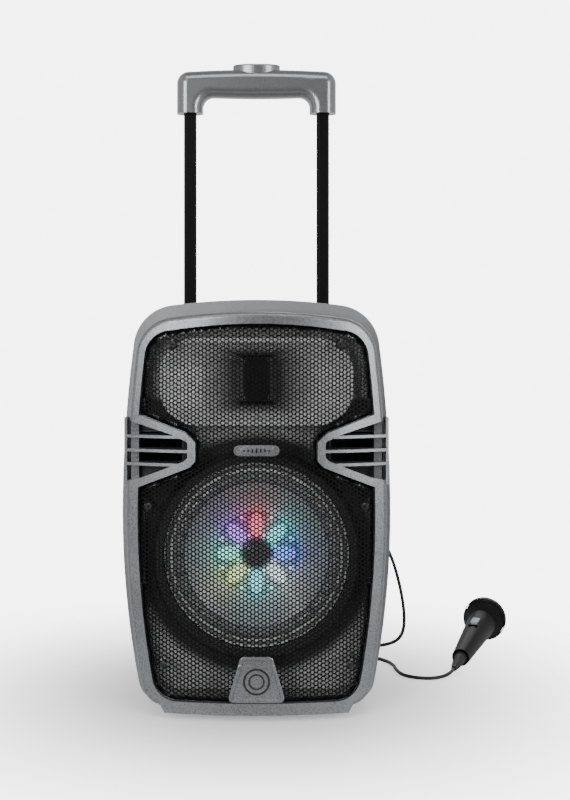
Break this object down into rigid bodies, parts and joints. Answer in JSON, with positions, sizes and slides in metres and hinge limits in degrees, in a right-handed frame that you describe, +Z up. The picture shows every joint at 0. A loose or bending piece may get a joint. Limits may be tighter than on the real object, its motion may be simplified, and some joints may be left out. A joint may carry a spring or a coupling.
{
  "type": "party speaker",
  "caption": "Portable party speaker with a bowed perforated grille, side vents, pull-out trolley handle, wheels and a wired hand microphone.",
  "frame": {"origin": "on the floor, under the middle of the cabinet at the middle of its depth", "axes": "+Z up, +Y to the back, +X to the right as seen from the front"},
  "size_m": [0.4449, 0.3799, 0.69],
  "materials": {
    "silver_paint": "fine metallic silver paint, satin",
    "grip_silver": "smooth satin silver paint",
    "shell_silver": "smooth silver grey, satin",
    "inner_black": "smooth black moulding, matte",
    "gloss_black": "smooth black, glossy",
    "black_steel": "black powder coat, semi-gloss",
    "screw_steel": "dark oxide screw heads",
    "cone_silver": "grey silver cone, glossy",
    "rubber_black": "soft black rubber",
    "spider_cloth": "woven amber spider cloth",
    "magnet_steel": "zinc and ferrite",
    "clear_lens": "clear domed plastic, glossy",
    "circuit_green": "green circuit board",
    "battery_grey": "dark grey battery case",
    "socket_metal": "nickel plate, bright",
    "mic_black": "satin black moulding",
    "mesh_steel": "dark plated wire mesh",
    "switch_grey": "light grey slider",
    "tie_cloth": "black hook-and-loop band",
    "tyre_rubber": "black tyre rubber, matte"
  },
  "bodies": {
    "cabinet": {"front_frame": "silver_paint", "rear_shell": "shell_silver", "front_baffle": "inner_black", "grille": "black_steel", "grille_screws": "screw_steel", "name_badge": "silver_paint", "emblem_plate": "silver_paint", "vent_louvres": "silver_paint", "port_ducts": "inner_black", "rubber_feet": "rubber_black", "shell_screws": "screw_steel", "horn_flare": "gloss_black", "tweeter_driver": "magnet_steel", "woofer_basket": "black_steel", "woofer_screws": "screw_steel", "woofer_magnet": "magnet_steel", "led_board": "circuit_green", "led_lens": "clear_lens", "control_panel": "inner_black", "display_window": "gloss_black", "input_jacks": "socket_metal", "usb_socket": "socket_metal", "dc_socket": "gloss_black", "amplifier_board": "circuit_green", "battery": "battery_grey", "battery_bracket": "black_steel", "outer_tubes": "black_steel", "tube_collars": "inner_black", "wheel_axles": "screw_steel", "mic_strain_relief": "rubber_black", "mic_body": "mic_black", "mic_head": "mesh_steel", "mic_ring": "mic_black", "mic_capsule": "gloss_black", "jack_plug": "gloss_black", "mic_cord": "rubber_black", "mic_cord_coil": "rubber_black", "cord_tie": "tie_cloth"},
    "handle": {"handle_grip": "grip_silver", "inner_tubes": "black_steel"},
    "release_button": {"release_button": "grip_silver", "latch_rods": "screw_steel", "release_spring": "screw_steel"},
    "latch_pins": {"latch_pins": "screw_steel"},
    "wheel_left": {"wheel_tyre_left": "tyre_rubber", "wheel_hub_left": "inner_black"},
    "wheel_right": {"wheel_tyre_right": "tyre_rubber", "wheel_hub_right": "inner_black"},
    "woofer_cone": {"woofer_cone": "cone_silver", "woofer_surround": "rubber_black", "woofer_spider": "spider_cloth"},
    "volume_knob": {"volume_knob": "gloss_black"},
    "echo_knob": {"echo_knob": "gloss_black"},
    "mic_volume_knob": {"mic_volume_knob": "gloss_black"},
    "mode_button": {"mode_button": "rubber_black"},
    "previous_button": {"previous_button": "rubber_black"},
    "play_button": {"play_button": "rubber_black"},
    "next_button": {"next_button": "rubber_black"},
    "power_rocker": {"power_rocker": "gloss_black"},
    "mic_switch": {"mic_switch": "switch_grey"}
  },
  "joints": [
    {"name": "handle_slide", "type": "slide", "parent": "cabinet", "child": "handle", "axis": [0, 0, 1], "range_m": [-0.22, 0]},
    {"name": "release_press", "type": "slide", "parent": "handle", "child": "release_button", "axis": [0, 0, 1], "range_m": [-0.005, 0], "stiffness_N_per_m": 600, "springref_m": 0.002, "deforming": ["release_spring"]},
    {"name": "latch_retract", "type": "slide", "parent": "handle", "child": "latch_pins", "axis": [0, 1, 0], "range_m": [-0.0025, 0]},
    {"name": "cone_travel", "type": "slide", "parent": "cabinet", "child": "woofer_cone", "axis": [0, 1, 0], "range_m": [-0.003, 0.003], "stiffness_N_per_m": 2000, "deforming": ["woofer_surround", "woofer_spider"]},
    {"name": "wheel_left_spin", "type": "hinge", "parent": "cabinet", "child": "wheel_left", "pos_m": [-0.094, 0.094, 0.03], "axis": [1, 0, 0], "continuous": true},
    {"name": "wheel_right_spin", "type": "hinge", "parent": "cabinet", "child": "wheel_right", "pos_m": [0.094, 0.094, 0.03], "axis": [1, 0, 0], "continuous": true},
    {"name": "volume_knob_turn", "type": "hinge", "parent": "cabinet", "child": "volume_knob", "pos_m": [-0.034, 0.1205, 0.266], "axis": [0, 1, 0], "range_deg": [-150, 150]},
    {"name": "echo_knob_turn", "type": "hinge", "parent": "cabinet", "child": "echo_knob", "pos_m": [0, 0.1205, 0.266], "axis": [0, 1, 0], "range_deg": [-150, 150]},
    {"name": "mic_volume_knob_turn", "type": "hinge", "parent": "cabinet", "child": "mic_volume_knob", "pos_m": [0.034, 0.1205, 0.266], "axis": [0, 1, 0], "range_deg": [-150, 150]},
    {"name": "mode_button_press", "type": "slide", "parent": "cabinet", "child": "mode_button", "axis": [0, 1, 0], "range_m": [-0.001, 0], "stiffness_N_per_m": 800, "springref_m": 0.0008},
    {"name": "previous_button_press", "type": "slide", "parent": "cabinet", "child": "previous_button", "axis": [0, 1, 0], "range_m": [-0.001, 0], "stiffness_N_per_m": 800, "springref_m": 0.0008},
    {"name": "play_button_press", "type": "slide", "parent": "cabinet", "child": "play_button", "axis": [0, 1, 0], "range_m": [-0.001, 0], "stiffness_N_per_m": 800, "springref_m": 0.0008},
    {"name": "next_button_press", "type": "slide", "parent": "cabinet", "child": "next_button", "axis": [0, 1, 0], "range_m": [-0.001, 0], "stiffness_N_per_m": 800, "springref_m": 0.0008},
    {"name": "power_rock", "type": "hinge", "parent": "cabinet", "child": "power_rocker", "pos_m": [-0.034, 0.1185, 0.214], "axis": [1, 0, 0], "range_deg": [-16, 0]},
    {"name": "mic_switch_slide", "type": "slide", "parent": "cabinet", "child": "mic_switch", "axis": [0.3396, 0.9332, 0.1175], "range_m": [-0.0055, 0]}
  ],
  "couplings": [
    {"joint": "latch_retract", "follows": "release_press", "ratio": 0.5}
  ]
}
